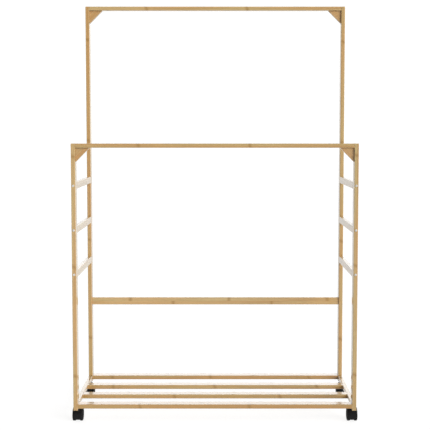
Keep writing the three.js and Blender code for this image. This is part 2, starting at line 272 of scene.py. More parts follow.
# Floor: its glow, and how much less of it shows in reflections
FLOOR_HALF = 40.0
FLOOR_GREY = 0.3
FLOOR_ROUGHNESS = 0.9
FLOOR_SPECULAR = 0.1
FLOOR_GLOW = 0.85
FLOOR_MIRRORED_LOSS = 0.24

# Sky: each is a span of the direction's X, Y or Z with the light at either end
SKY_BEHIND = (-0.3, 0.65, 0.34, 0.97)
SKY_BANK_FOOT = (0.08, 0.26, 0.0, 1.25)
SKY_BANK_TOP = (0.36, 0.55, 1.0, 0.0)
SKY_BANK_BEHIND = (0.1, 0.7, 0.0, 1.0)
SKY_SIDES = (-1.0, 1.0, -0.06, 0.06)
SKY_OVERHEAD = (0.32, 0.8, 1.0, 0.15)
SKY_SEEN = 1.1

# Key light
KEY_TOWARDS = Vector((-0.70, 0.66, -0.30))
KEY_STRENGTH = 3.1
KEY_SPREAD_DEGREES = 50

# Camera
CAMERA_PLACE = (0.0164, -3.3506, 1.0396)
CAMERA_TILT_DEGREES = 3.8
CAMERA_LENS = 75.84
CAMERA_SENSOR = 36.0
CAMERA_SHIFT = (-0.0105, -0.055)


# --- Mesh helpers ----------------------------------------------------------------------------

def new_object(name, mesh):
    piece = bpy.data.objects.new(name, mesh)
    bpy.context.scene.collection.objects.link(piece)
    return piece


def stand_in(name, mesh, place, node, body):
    """Puts a finished piece in the place of a CAD node, to move with that node's body."""
    piece = new_object(name, mesh)
    piece.location = place
    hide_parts(node)
    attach(piece, body)


def nodes_in(slot):
    """The CAD nodes of one material slot, in the record's order."""
    return [
        item["node"] for item in frame["record"]["subparts"] if item["material_slot"] == slot
    ]


def longest(size):
    """The axis along which a box is longest."""
    return max(range(3), key=lambda axis: size[axis])


def mesh_from(name, vertices, faces):
    mesh = bpy.data.meshes.new(name)
    mesh.from_pydata([tuple(v) for v in vertices], [], faces)
    mesh.validate()
    return mesh


def smooth(mesh, sharp_degrees):
    """Smooth faces, with sharp edges wherever the surface turns by more than the angle."""
    mesh.shade_smooth()
    mesh.set_sharp_from_angle(angle=math.radians(sharp_degrees))


def store_numbers(mesh, name, numbers):
    """Writes a number for each vertex, which the materials read by name."""
    mesh.attributes.new(name, "FLOAT", "POINT").data.foreach_set("value", numbers)


def store_vectors(mesh, name, vectors):
    """Writes a vector for each vertex, which the materials read by name."""
    attribute = mesh.attributes.new(name, "FLOAT_VECTOR", "POINT")
    attribute.data.foreach_set("vector", [number for vector in vectors for number in vector])


def store_surface(mesh):
    """Writes where each vertex lies, so that a material stays with its piece."""
    store_vectors(mesh, "surface", [vertex.co.copy() for vertex in mesh.vertices])


def rounded_outline(corners, radius):
    """A polygon with rounded corners, as (point, outward normal, how far on the edge) in order.
    A point just beside each round keeps the flats flat."""
    outline = []
    for i, corner in enumerate(corners):
        back = (corners[i - 1] - corner).normalized()
        ahead = (corners[(i + 1) % len(corners)] - corner).normalized()
        half_angle = back.angle(ahead) / 2
        reach = radius / math.tan(half_angle)
        centre = corner + (back + ahead).normalized() * (radius / math.sin(half_angle))
        first = corner + back * reach - centre
        last = corner + ahead * reach - centre
        turn = first.angle(last)
        outline.append((centre + first + back * EDGE_BLEND, first.normalized(), 0.0))
        for step in range(ROUND_STEPS + 1):
            angle = math.atan2(first.y, first.x) + turn * step / ROUND_STEPS
            normal = Vector((math.cos(angle), math.sin(angle)))
            outline.append((centre + normal * radius, normal, 1.0))
        outline.append((centre + last + ahead * EDGE_BLEND, last.normalized(), 0.0))
    return outline


def sweep(name, outline, centre, axes, length, grain_axes, node_at):
    """A solid of one section, with bevelled ends. The axes are unit vectors: the section's two,
    then the length. grain_axes are the directions along the fibres, through the board and
    across it, and node_at is where along the fibres a growth node crosses."""
    across, up, along = axes
    rings = [
        (-length / 2, END_BEVEL, 1.0, 1.0),
        (-length / 2 + END_BEVEL, 0.0, 1.0, 0.0),
        (-length / 2 + END_BEVEL + EDGE_BLEND, 0.0, 0.0, 0.0),
    ]
    rings += [(-place, shrink, edge, end) for place, shrink, edge, end in reversed(rings)]
    vertices, edges, ends = [], [], []
    for place, shrink, ring_edge, end in rings:
        for point, normal, edge in outline:
            flat = point - normal * shrink
            vertices.append(centre + across * flat.x + up * flat.y + along * place)
            edges.append(max(edge, ring_edge))
            ends.append(end)
    count = len(outline)
    faces = [tuple(reversed(range(count)))]
    for ring in range(len(rings) - 1):
        for i in range(count):
            j = (i + 1) % count
            low, high = ring * count, (ring + 1) * count
            faces.append((low + i, low + j, high + j, high + i))
    faces.append(tuple(range((len(rings) - 1) * count, len(rings) * count)))
    mesh = mesh_from(name, vertices, faces)
    fibres, through, width = grain_axes
    grain = []
    for vertex in vertices:
        local = vertex - centre
        grain.append((vertex.dot(fibres) - node_at, local.dot(through), local.dot(width)))
    store_vectors(mesh, "grain", grain)
    store_numbers(mesh, "edge", edges)
    store_numbers(mesh, "cut_end", ends)
    smooth(mesh, BAR_SHARP_DEGREES)
    return mesh


def turned(name, profile, segments):
    """A solid of revolution about X through the origin, from (radius, along) points that start
    and end on the axis."""
    vertices, rings = [], []
    for radius, along in profile:
        if radius == 0:
            rings.append([len(vertices)])
            vertices.append(Vector((along, 0, 0)))
            continue
        ring = []
        for i in range(segments):
            angle = math.tau * i / segments
            ring.append(len(vertices))
            vertices.append(Vector((along, radius * math.cos(angle), radius * math.sin(angle))))
        rings.append(ring)
    faces = []
    for low, high in zip(rings, rings[1:]):
        for i in range(segments):
            j = (i + 1) % segments
            corners = (
                low[i % len(low)], low[j % len(low)], high[j % len(high)], high[i % len(high)])
            faces.append(tuple(dict.fromkeys(corners)))
    mesh = mesh_from(name, vertices, faces)
    face_outwards(mesh)
    return mesh


def face_outwards(mesh):
    solid = bmesh.new()
    solid.from_mesh(mesh)
    bmesh.ops.recalc_face_normals(solid, faces=solid.faces)
    solid.to_mesh(mesh)
    solid.free()


def weld(mesh):
    """Joins the nearly touching points that cuts leave, so that the bevel finds clean edges."""
    solid = bmesh.new()
    solid.from_mesh(mesh)
    flat = math.radians(WELD_FLAT_DEGREES)
    bmesh.ops.dissolve_limit(solid, angle_limit=flat, verts=solid.verts, edges=solid.edges)
    bmesh.ops.remove_doubles(solid, verts=solid.verts, dist=WELD_REACH)
    bmesh.ops.dissolve_degenerate(solid, dist=WELD_SLIVER, edges=solid.edges)
    solid.to_mesh(mesh)
    solid.free()


def combine(target, tool, operation):
    """Joins or cuts the target with the tool, which is used up."""
    modifier = target.modifiers.new(operation, "BOOLEAN")
    modifier.object = tool
    modifier.operation = operation
    modifier.solver = "EXACT"
    result = bpy.data.meshes.new_from_object(
        target.evaluated_get(bpy.context.evaluated_depsgraph_get()))
    target.modifiers.clear()
    target.data = result
    bpy.data.objects.remove(tool)


def turn_to(mesh, axis):
    """Turns a mesh made about X so that it is about another axis, X to it in cyclic order."""
    for vertex in mesh.vertices:
        x, y, z = vertex.co
        vertex.co = ((x, y, z), (z, x, y), (y, z, x))[axis]
    return mesh


def half_turn(mesh):
    """Turns a mesh by half a turn about Z."""
    for vertex in mesh.vertices:
        vertex.co = (-vertex.co.x, -vertex.co.y, vertex.co.z)
    return mesh


# --- Node helpers ----------------------------------------------------------------------------

class Tree:
    """The node tree of a new material or world, with short calls for the nodes used here."""

    def __init__(self, owner, shader):
        owner.use_nodes = True
        self.owner = owner
        self.nodes = owner.node_tree.nodes
        self.links = owner.node_tree.links
        self.shader = self.nodes[shader]

    def feed(self, socket, value):
        """Links an output to a socket, or sets the socket to a plain value."""
        if isinstance(value, bpy.types.NodeSocket):
            self.links.new(value, socket)
        elif value is not None:
            socket.default_value = value

    def read(self, kind, output):
        """One output of a node that has no inputs."""
        return self.nodes.new(kind).outputs[output]

    def attribute(self, name, output):
        node = self.nodes.new("ShaderNodeAttribute")
        node.attribute_name = name
        return node.outputs[output]

    def math(self, operation, a, b=None, c=None):
        node = self.nodes.new("ShaderNodeMath")
        node.operation = operation
        for socket, value in zip(node.inputs, (a, b, c)):
            self.feed(socket, value)
        return node.outputs[0]

    def split(self, vector):
        node = self.nodes.new("ShaderNodeSeparateXYZ")
        self.feed(node.inputs[0], vector)
        return node.outputs

    def join(self, x, y, z):
        node = self.nodes.new("ShaderNodeCombineXYZ")
        for socket, value in zip(node.inputs, (x, y, z)):
            self.feed(socket, value)
        return node.outputs[0]

    def vector_math(self, operation, a, b):
        node = self.nodes.new("ShaderNodeVectorMath")
        node.operation = operation
        self.feed(node.inputs[0], a)
        self.feed(node.inputs[1], b)
        return node.outputs[0]

    def noise(self, vector, scale, detail=2.0, roughness=0.5):
        node = self.nodes.new("ShaderNodeTexNoise")
        self.feed(node.inputs["Vector"], vector)
        node.inputs["Scale"].default_value = scale
        node.inputs["Detail"].default_value = detail
        node.inputs["Roughness"].default_value = roughness
        return node.outputs[0]

    def stretched_noise(self, vector, scales, detail=2.0, roughness=0.5):
        stretched = self.vector_math("MULTIPLY", vector, scales)
        return self.noise(stretched, 1.0, detail, roughness)

    def random(self, vector):
        node = self.nodes.new("ShaderNodeTexWhiteNoise")
        self.feed(node.inputs["Vector"], vector)
        return node.outputs[0]

    def cells(self, vector, scale):
        """Distance to the nearest of scattered points, for the pores of a sawn end."""
        node = self.nodes.new("ShaderNodeTexVoronoi")
        self.feed(node.inputs["Vector"], vector)
        node.inputs["Scale"].default_value = scale
        return node.outputs["Distance"]

    def span(self, value, low, high, to_low=0.0, to_high=1.0):
        """Maps a value smoothly from one span to another, and holds it there outside."""
        node = self.nodes.new("ShaderNodeMapRange")
        node.interpolation_type = "SMOOTHSTEP"
        for socket, number in zip(node.inputs, (value, low, high, to_low, to_high)):
            self.feed(socket, number)
        return node.outputs[0]

    def mix(self, factor, a, b):
        node = self.nodes.new("ShaderNodeMix")
        node.data_type = "RGBA"
        self.feed(node.inputs["Factor"], factor)
        self.feed(node.inputs[6], a)
        self.feed(node.inputs[7], b)
        return node.outputs[2]

    def choose(self, factor, a, b):
        """The number a where the factor is 0, and b where it is 1."""
        node = self.nodes.new("ShaderNodeMix")
        self.feed(node.inputs["Factor"], factor)
        self.feed(node.inputs[2], a)
        self.feed(node.inputs[3], b)
        return node.outputs[0]

    def bump(self, height, distance, strength):
        node = self.nodes.new("ShaderNodeBump")
        self.feed(node.inputs["Height"], height)
        node.inputs["Distance"].default_value = distance
        node.inputs["Strength"].default_value = strength
        self.links.new(node.outputs[0], self.shader.inputs["Normal"])

    def set(self, **values):
        """Sets or links the shader's own sockets; an underscore stands for a space."""
        for name, value in values.items():
            self.feed(self.shader.inputs[name.replace("_", " ")], value)


def material_tree(name):
    return Tree(bpy.data.materials.new(name), "Principled BSDF")


def colour(red, green, blue):
    return (red, green, blue, 1.0)


# --- Materials -------------------------------------------------------------------------------

def glued_strips(tree, through, across, board):
    """Each board is glued from two strips side by side, in three plies. Gives the ply, whether
    it is the second strip, the strip's own tone and hue, and how near the glue is."""
    second_strip = tree.math("GREATER_THAN", across, 0.0)
    depth = tree.math("ABSOLUTE", through)
    outer_ply = tree.math("GREATER_THAN", depth, PLY_THICKNESS / 2)
    ply = tree.math("MULTIPLY", tree.math("SIGN", through), outer_ply)
    tone = tree.random(tree.join(ply, second_strip, board))
    hue = tree.random(tree.join(board, ply, second_strip))
    from_ply = tree.math("ABSOLUTE", tree.math("SUBTRACT", depth, PLY_THICKNESS / 2))
    from_strip = tree.math("ABSOLUTE", across)
    from_glue = tree.math("MINIMUM", from_ply, from_strip)
    return ply, second_strip, tone, hue, tree.span(from_glue, *GLUE_LINE, 1.0, 0.0)


def growth_nodes(tree, place, along, ply, second_strip):
    """A growth node every internode, a little askew, at another place in the second strip.
    Gives its dark line and the halo round it."""
    askew = tree.math("MULTIPLY", tree.stretched_noise(place, ASKEW_SCALE), NODE_ASKEW)
    shift = tree.math("MULTIPLY", second_strip, SECOND_STRIP_SHIFT)
    shift = tree.math("MULTIPLY_ADD", ply, PLY_SHIFT, shift)
    run = tree.math("ADD", tree.math("ADD", along, shift), askew)
    turns = tree.math("ADD", tree.math("DIVIDE", run, NODE_SPACING), 0.5)
    from_node = tree.math("SUBTRACT", tree.math("FRACT", turns), 0.5)
    distance = tree.math("MULTIPLY", tree.math("ABSOLUTE", from_node), NODE_SPACING)
    return tree.span(distance, *NODE_LINE, 1.0, 0.0), tree.span(distance, *NODE_HALO, 1.0, 0.0)


def ground_colour(tree, place, tone, strip_tone, strip_hue, streaks):
    """The bamboo between its marks: pale to warm along the streaks, yellower to redder along
    slow changes of hue, and each strip and each bar a little different."""
    drift = tree.stretched_noise(place, DRIFT_SCALE, detail=1.0)
    hue = tree.math("MULTIPLY_ADD", strip_hue, STRIP_HUE_SHARE, tree.span(drift, *DRIFT_HUE))
    hue = tree.math("MULTIPLY_ADD", tone, TONE_HUE_SHARE, hue)
    pale, warm = (
        tree.mix(hue, colour(*yellower), colour(*redder)) for yellower, redder in (PALE, WARM)
    )
    own_tone = tree.math("MULTIPLY", tone, TONE_SHARE)
    warmth = tree.math("MULTIPLY_ADD", strip_tone, STRIP_TONE_SHARE, own_tone)
    warmth = tree.math("ADD", warmth, tree.math("MULTIPLY", streaks, STREAK_SHARE))
    return tree.mix(tree.span(warmth, *WARMTH), pale, warm)


def make_bamboo():
    """Laminated bamboo under clear lacquer: long fibres, strips of slightly different tone,
    growth nodes across the strips, paler eased edges, open pores on the sawn ends, and a painted
    sheen that turns the colour cream where the surface is seen at a slant."""
    tree = material_tree("bamboo")
    grain = tree.attribute("grain", "Vector")
    edge = tree.attribute("edge", "Fac")
    cut_end = tree.attribute("cut_end", "Fac")
    board = tree.attribute("board", "Fac")
    tone = tree.attribute("tone", "Fac")
    along, through, across = tree.split(grain)
    ply, second_strip, strip_tone, strip_hue, glue = glued_strips(tree, through, across, board)
    offset = tree.join(tree.math("MULTIPLY", board, BOARD_OFFSET), second_strip, board)
    place = tree.vector_math("ADD", grain, offset)
    fibres = tree.stretched_noise(place, FIBRE_SCALE, detail=3.0, roughness=0.6)
    streaks = tree.stretched_noise(place, STREAK_SCALE)
    clouds = tree.stretched_noise(place, CLOUD_SCALE, detail=3.0)
    node_line, node_halo = growth_nodes(tree, place, along, ply, second_strip)

    # Painted sheen: where the surface is seen at a slant, the base colour is mixed towards cream, a painted
    # reflection of the lacquer
    slant = tree.read("ShaderNodeLayerWeight", "Facing")
    base = ground_colour(tree, place, tone, strip_tone, strip_hue, streaks)
    for cover, tint in (
        (tree.span(clouds, *CLOUD_COVER), CLOUD_BROWN),
        (tree.span(fibres, *FIBRE_COVER), FIBRE_BROWN),
        (tree.math("MULTIPLY", node_halo, HALO_COVER), HALO_BROWN),
        (tree.math("MULTIPLY", node_line, LINE_COVER), LINE_BROWN),
        (tree.math("MULTIPLY", glue, GLUE_COVER), GLUE_BROWN),
        (tree.math("MULTIPLY", edge, tree.span(streaks, *WORN_COVER)), WORN_TAN),
        # Painted sheen: cream over the colour where the view runs along the surface
        (tree.span(slant, *PAINTED_SHEEN_COVER), PAINTED_SHEEN_CREAM),
    ):
        base = tree.mix(cover, base, colour(*tint))

    # Fibre ends on a sawn end are dark points in a duller ground
    pores = tree.span(tree.cells(place, PORE_SCALE), *PORE_SPAN)
    base = tree.mix(cut_end, base, tree.mix(pores, colour(*PORE_BROWN), colour(*SAWN_TAN)))

    rough = tree.math("MULTIPLY_ADD", fibres, FIBRE_ROUGHNESS, LACQUER_ROUGHNESS)
    rough = tree.math("ADD", rough, tree.math("MULTIPLY", cut_end, SAWN_ROUGHNESS))
    rough = tree.math("ADD", rough, tree.math("MULTIPLY", node_halo, HALO_ROUGHNESS))
    ridge = tree.math("MULTIPLY", node_halo, RIDGE_RELIEF)
    height = tree.math("ADD", tree.math("MULTIPLY", fibres, FIBRE_RELIEF), ridge)
    height = tree.math("SUBTRACT", height, tree.math("MULTIPLY", node_line, LINE_RELIEF))
    tree.bump(height, BAMBOO_RELIEF, BAMBOO_RELIEF_STRENGTH)
    tree.set(Base_Color=base, Roughness=rough, Coat_Weight=1.0, Coat_Roughness=COAT_ROUGHNESS)
    return tree.owner


def make_steel(name, tint, metallic, roughness, mark_scale):
    """Zinc-plated steel: a mottled plating over fine turning marks."""
    tree = material_tree(name)
    place = tree.attribute("surface", "Vector")
    mottle = tree.noise(place, PLATING_SCALE, detail=4.0, roughness=0.6)
    marks = tree.stretched_noise(place, mark_scale)
    darker = colour(*(PLATING_SHADE * channel for channel in tint))
    tree.set(
        Base_Color=tree.mix(tree.span(mottle, *PLATING_SPAN), darker, colour(*tint)),
        Metallic=metallic,
        Roughness=tree.math("MULTIPLY_ADD", marks, MARK_ROUGHNESS, roughness))
    tree.bump(tree.math("ADD", marks, mottle), STEEL_RELIEF, STEEL_RELIEF_STRENGTH)
    return tree.owner


def make_plastic(name, base, worn, roughness, skin_scale, skin_depth):
    """Black moulded plastic: a fine spark-eroded skin, soft mottling and paler scuffed edges."""
    tree = material_tree(name)
    place = tree.attribute("surface", "Vector")
    scuff = tree.attribute("scuff", "Fac")
    skin = tree.noise(place, skin_scale, detail=3.0, roughness=0.7)
    mottle = tree.noise(place, PLASTIC_MOTTLE_SCALE, detail=3.0)
    paler = colour(*(PLASTIC_PALER * channel for channel in base))
    clean = tree.mix(tree.span(mottle, *PLASTIC_MOTTLE), colour(*base), paler)
    rubbed = tree.math("MULTIPLY", scuff, tree.span(mottle, *SCUFF_SPAN))
    tree.set(
        Base_Color=tree.mix(rubbed, clean, colour(*worn)),
        Roughness=tree.math("MULTIPLY_ADD", skin, SKIN_ROUGHNESS, roughness),
        Specular_IOR_Level=PLASTIC_SPECULAR)
    tree.bump(skin, skin_depth, SKIN_RELIEF_STRENGTH)
    return tree.owner


# --- Bamboo pieces ---------------------------------------------------------------------------

def show_wood(name, mesh, board, tone, material):
    """Puts the finished wooden piece in place of its CAD node."""
    store_numbers(mesh, "board", [board] * len(mesh.vertices))
    store_numbers(mesh, "tone", [tone] * len(mesh.vertices))
    mesh.materials.append(material)
    stand_in(name + "_bamboo", mesh, (0, 0, 0), name, "rack_frame")


def make_bar(name, board, draw, material):
    low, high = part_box(name)
    size = high - low
    long_axis = longest(size)
    first, second = (long_axis + 1) % 3, (long_axis + 2) % 3
    half_across, half_up = size[first] / 2, size[second] / 2
    corners = [
        Vector((half_across, half_up)),
        Vector((-half_across, half_up)),
        Vector((-half_across, -half_up)),
        Vector((half_across, -half_up)),
    ]
    thin, wide = (first, second) if size[first] <= size[second] else (second, first)
    node_at = NODE_AT.get(name, draw.uniform(0, NODE_SPACING))
    mesh = sweep(
        name, rounded_outline(corners, BAR_ROUND), (low + high) / 2,
        (AXES[first], AXES[second], AXES[long_axis]), size[long_axis],
        (AXES[long_axis], AXES[thin], AXES[wide]), node_at)
    tone = draw.random() + (SLAT_TONE if name.startswith("slat") else 0)
    show_wood(name, mesh, board, tone, material)


def make_gusset(end_name, side_name, board, material):
    """A triangular block in the corner of a post and a rail, its fibres along the long side and
    no growth node in it. All its faces are planed, so it shows no sawn ends."""
    name = f"gusset_{end_name}_{side_name}"
    side = SIDES[side_name]
    low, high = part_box(name)
    size = high - low
    centre = (low + high) / 2
    inner = side * size.x / 2
    corners = [
        Vector((size.z / 2, inner)),
        Vector((-size.z / 2, inner)),
        Vector((size.z / 2, -inner)),
    ]
    if side < 0:
        corners.reverse()
    long_side = Vector((side, 0, -1)).normalized()
    between_nodes = centre.dot(long_side) + NODE_SPACING / 2
    mesh = sweep(
        name, rounded_outline(corners, GUSSET_ROUND), centre, (AXES[2], AXES[0], AXES[1]),
        size.y, (long_side, AXES[1], long_side.cross(AXES[1])), between_nodes)
    mesh.attributes["cut_end"].data.foreach_set("value", [0.0] * len(mesh.vertices))
    show_wood(name, mesh, board, GUSSET_TONE, material)


def make_wood():
    draw = random.Random(BAMBOO_SEED)
    material = make_bamboo()
    bars = [name for name in nodes_in("bamboo") if not name.startswith("gusset")]
    for board, name in enumerate(bars):
        make_bar(name, board, draw, material)
    places = [(end_name, side_name) for end_name in ENDS for side_name in SIDES]
    for board, (end_name, side_name) in enumerate(places, start=len(bars)):
        make_gusset(end_name, side_name, board, material)


# --- Bolts -----------------------------------------------------------------------------------

def bolt_mesh(name, length):
    """A round-headed bolt with a hexagon socket, its head's seat at the origin, pointing to +X.
    The length is that of the shank with its point."""
    profile = [
        (BOLT_SHANK_RADIUS, BOLT_POINT - length),
        (BOLT_SHANK_RADIUS, 0.0),
        (BOLT_HEAD_RADIUS - BOLT_HEAD_EASE, 0.0),
        (BOLT_HEAD_RADIUS, BOLT_HEAD_EASE),
        (BOLT_HEAD_RADIUS, BOLT_RIM_HEIGHT),
    ]
    profile += [(radius * MM, height * MM) for radius, height in BOLT_CROWN]
    angles = [math.tau * i / BOLT_SEGMENTS for i in range(BOLT_SEGMENTS)]
    sector = math.tau / SOCKET_SIDES
    hexagon = [SOCKET_APOTHEM / math.cos(angle % sector - sector / 2) for angle in angles]
    socket_floor = BOLT_HEAD_HEIGHT - SOCKET_DEPTH
    sections = [(along, [radius] * BOLT_SEGMENTS) for radius, along in profile]
    sections += [(along, hexagon) for along in (BOLT_HEAD_HEIGHT - SOCKET_EASE, socket_floor)]

    vertices = [Vector((-length, 0, 0))]
    for along, radii in sections:
        for angle, radius in zip(angles, radii):
            vertices.append(Vector((along, radius * math.cos(angle), radius * math.sin(angle))))
    vertices.append(Vector((socket_floor - SOCKET_POINT, 0, 0)))

    last = len(vertices) - 1
    rings = range(1, last, BOLT_SEGMENTS)
    faces = []
    for i in range(BOLT_SEGMENTS):
        j = (i + 1) % BOLT_SEGMENTS
        faces.append((0, rings[0] + j, rings[0] + i))
        for low, high in zip(rings, rings[1:]):
            faces.append((low + i, low + j, high + j, high + i))
        faces.append((rings[-1] + i, rings[-1] + j, last))
    mesh = mesh_from(name, vertices, faces)
    face_outwards(mesh)
    return mesh


def make_bolts():
    """Every bolt stands for its CAD node: its seat is where the head meets the post."""
    steel = make_steel("bolt_steel", **BOLT_STEEL)
    for name in nodes_in("bolt_steel"):
        low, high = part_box(name)
        size = high - low
        axis = longest(size)
        seat = (low + high) / 2
        outwards = seat[axis] > 0
        mesh = bolt_mesh(name, size[axis] - BOLT_HEAD_HEIGHT)
        if outwards:
            seat[axis] = high[axis] - BOLT_HEAD_HEIGHT
        else:
            half_turn(mesh)
            seat[axis] = low[axis] + BOLT_HEAD_HEIGHT
        turn_to(mesh, axis)
        store_surface(mesh)
        smooth(mesh, TURNED_SHARP_DEGREES)
        mesh.materials.append(steel)
        stand_in(name + "_bright", mesh, seat, name, "rack_frame")


# --- Casters ---------------------------------------------------------------------------------

def wheel_radius():
    """Also the height of the axles over the floor."""
    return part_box("caster_wheel_front_left_left")[1].z / 2


def wheel_mesh(side):
    """One wheel about the axle's centre: crowned tread, raised rim, ribbed dish and a hub cap,
    with the axle's blind bore in its inner face."""
    radius = wheel_radius()

    def outwards(distance):
        return side * (WHEEL_INNER + distance * MM)

    bore_end = side * (WHEEL_INNER + BORE_DEPTH)
    profile = [(0.0, bore_end), (BORE_RADIUS, bore_end), (BORE_RADIUS, outwards(0.0))]
    profile += [(radius - inset * MM, outwards(distance)) for inset, distance in WHEEL_TREAD]
    profile += [(place * MM, outwards(distance)) for place, distance in WHEEL_FACE]
    wheel = new_object("wheel_blank", turned("wheel", profile, WHEEL_SEGMENTS))
    for k in range(RIB_COUNT):
        angle = math.tau * (k + 0.5) / RIB_COUNT
        outward = Vector((0, math.cos(angle), math.sin(angle)))
        sideways = Vector((0, -math.sin(angle), math.cos(angle)))
        corners = []
        for distance in RIB_DISTANCES:
            for reach, half in RIB_ENDS:
                for sign in (-1, 1):
                    corner = outward * reach * MM + sideways * sign * half * MM
                    corners.append(corner + AXES[0] * outwards(distance))
        rib = mesh_from("rib", corners, BLOCK_FACES)
        face_outwards(rib)
        combine(wheel, new_object("rib", rib), "UNION")
    mesh = wheel.data
    bpy.data.objects.remove(wheel)
    return mesh


def sector_tool(inner, outer, degrees, lift=0.0):
    """A block in the shape of a ring's sector, across the whole hood, to cut it with."""
    start, end = degrees
    outline = []
    for radius, steps in (
        (outer, range(SECTOR_STEPS + 1)),
        (inner, range(SECTOR_STEPS, -1, -1)),
    ):
        for step in steps:
            angle = math.radians(start + (end - start) * step / SECTOR_STEPS)
            outline.append((radius * math.cos(angle), radius * math.sin(angle) + lift))
    count = len(outline)
    vertices = [(x, y, z) for x in (-CUTTER_REACH, CUTTER_REACH) for y, z in outline]
    faces = [tuple(range(count)), tuple(reversed(range(count, 2 * count)))]
    for i in range(count):
        j = (i + 1) % count
        faces.append((i, i + count, j + count, j))
    mesh = mesh_from("tool", vertices, faces)
    face_outwards(mesh)
    return new_object("tool", mesh)


def turned_tool(profile, axis=0, place=(0, 0, 0)):
    """A solid of revolution about an axis, to cut the hood with or to join to it."""
    piece = new_object("tool", turn_to(turned("tool", profile, HOOD_SEGMENTS), axis))
    piece.location = place
    return piece


def barrel():
    """The hood's outside, a barrel with rounded shoulders."""
    shoulder = []
    for step in range(SHOULDER_STEPS + 1):
        angle = math.pi / 2 * step / SHOULDER_STEPS
        shoulder.append((
            HOOD_RADIUS - HOOD_SHOULDER * (1 - math.sin(angle)),
            HOOD_HALF_WIDTH - HOOD_SHOULDER * (1 - math.cos(angle))))
    profile = [(0.0, -HOOD_HALF_WIDTH)]
    profile += [(radius, -along) for radius, along in shoulder]
    profile += reversed(shoulder)
    profile += [(0.0, HOOD_HALF_WIDTH)]
    return new_object("hood_blank", turned("hood", profile, HOOD_SEGMENTS))


def hood_mesh():
    """The hood about the axle's centre: a barrel-shaped fender on a middle web, with a boss round
    the stem, open below and behind so that the wheels can touch the floor."""
    hood = barrel()
    top = HOOD_TOP - wheel_radius()
    stem_place = (0, -CASTER_TRAIL, 0)
    boss = [
        (0.0, 0.0),
        (BOSS_RADIUS, 0.0),
        (BOSS_RADIUS, top - BOSS_EASE),
        (BOSS_RADIUS - BOSS_EASE_MIDDLE, top - BOSS_EASE_MIDDLE),
        (BOSS_RADIUS - BOSS_EASE, top),
        (0.0, top),
    ]
    combine(hood, turned_tool(boss, 2, stem_place), "UNION")
    inside = HOOD_RADIUS - HOOD_WALL
    for side in SIDES.values():
        near, far = side * WEB_HALF_WIDTH, side * (CUTTER_REACH + WEB_HALF_WIDTH)
        cavity = [(0.0, near), (inside, near), (inside, far), (0.0, far)]
        combine(hood, turned_tool(cavity), "DIFFERENCE")
    combine(hood, sector_tool(WEB_RADIUS, CUTTER_REACH, OPENING_DEGREES), "DIFFERENCE")
    below = sector_tool(
        SECTOR_TIP, BELOW_REACH, LOWER_HALF_DEGREES, lift=WEB_FOOT - wheel_radius())
    combine(hood, below, "DIFFERENCE")
    axle_bore = [
        (0.0, -CUTTER_REACH),
        (BORE_RADIUS, -CUTTER_REACH),
        (BORE_RADIUS, CUTTER_REACH),
        (0.0, CUTTER_REACH),
    ]
    combine(hood, turned_tool(axle_bore), "DIFFERENCE")
    stem_bore = [
        (0.0, top - STEM_BORE_DEPTH),
        (STEM_BORE_RADIUS, top - STEM_BORE_DEPTH),
        (STEM_BORE_RADIUS, CUTTER_REACH),
        (0.0, CUTTER_REACH),
    ]
    combine(hood, turned_tool(stem_bore, 2, stem_place), "DIFFERENCE")
    mesh = hood.data
    bpy.data.objects.remove(hood)
    return mesh


def stem_mesh():
    """The caster's stem about its own axis, heights from the floor: a pin in the hood, a collar
    with a groove under the shelf rail, and the shank in the rail."""
    low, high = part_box("caster_stem_front_left")
    foot = HOOD_TOP + COLLAR_GAP
    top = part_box("shelf_rail_left")[0].z
    groove_start, deep_start, deep_end, groove_end = (foot + place for place in COLLAR_GROOVE)
    profile = [
        (0.0, low.z),
        (STEM_RADIUS - STEM_EASE, low.z),
        (STEM_RADIUS, low.z + STEM_EASE),
        (STEM_RADIUS, foot),
        (COLLAR_RADIUS - COLLAR_FOOT_EASE, foot),
        (COLLAR_RADIUS, foot + COLLAR_FOOT_EASE),
        (COLLAR_RADIUS, groove_start),
        (COLLAR_RADIUS - COLLAR_GROOVE_DEPTH, deep_start),
        (COLLAR_RADIUS - COLLAR_GROOVE_DEPTH, deep_end),
        (COLLAR_RADIUS, groove_end),
        (COLLAR_RADIUS, top - STEM_EASE),
        (COLLAR_RADIUS - STEM_EASE, top),
        (STEM_RADIUS, top),
        (STEM_RADIUS, high.z),
        (0.0, high.z),
    ]
    return turn_to(turned("stem", profile, BOLT_SEGMENTS), 2)


def edge_wear(mesh):
    """1 for each vertex that lies on a sharp turn of the surface, for the scuffed edges."""
    solid = bmesh.new()
    solid.from_mesh(mesh)
    limit = math.radians(WEAR_DEGREES)
    worn = [0.0] * len(solid.verts)
    for rim in solid.edges:
        if len(rim.link_faces) == 2 and rim.calc_face_angle(0.0) > limit:
            for vertex in rim.verts:
                worn[vertex.index] = 1.0
    solid.free()
    return worn


def finish_plastic(mesh, material):
    """Eases the moulded edges, then stores where the surface lies and where it is scuffed."""
    weld(mesh)
    blank = new_object("blank", mesh)
    bevel = blank.modifiers.new("eased", "BEVEL")
    bevel.width = MOULD_ROUND
    bevel.segments = MOULD_ROUND_STEPS
    bevel.limit_method = "ANGLE"
    bevel.angle_limit = math.radians(MOULD_EDGE_DEGREES)
    bevel.use_clamp_overlap = False
    depsgraph = bpy.context.evaluated_depsgraph_get()
    eased = bpy.data.meshes.new_from_object(blank.evaluated_get(depsgraph))
    bpy.data.objects.remove(blank)
    store_surface(eased)
    store_numbers(eased, "scuff", edge_wear(eased))
    smooth(eased, TURNED_SHARP_DEGREES)
    eased.materials.clear()
    eased.materials.append(material)
    return eased


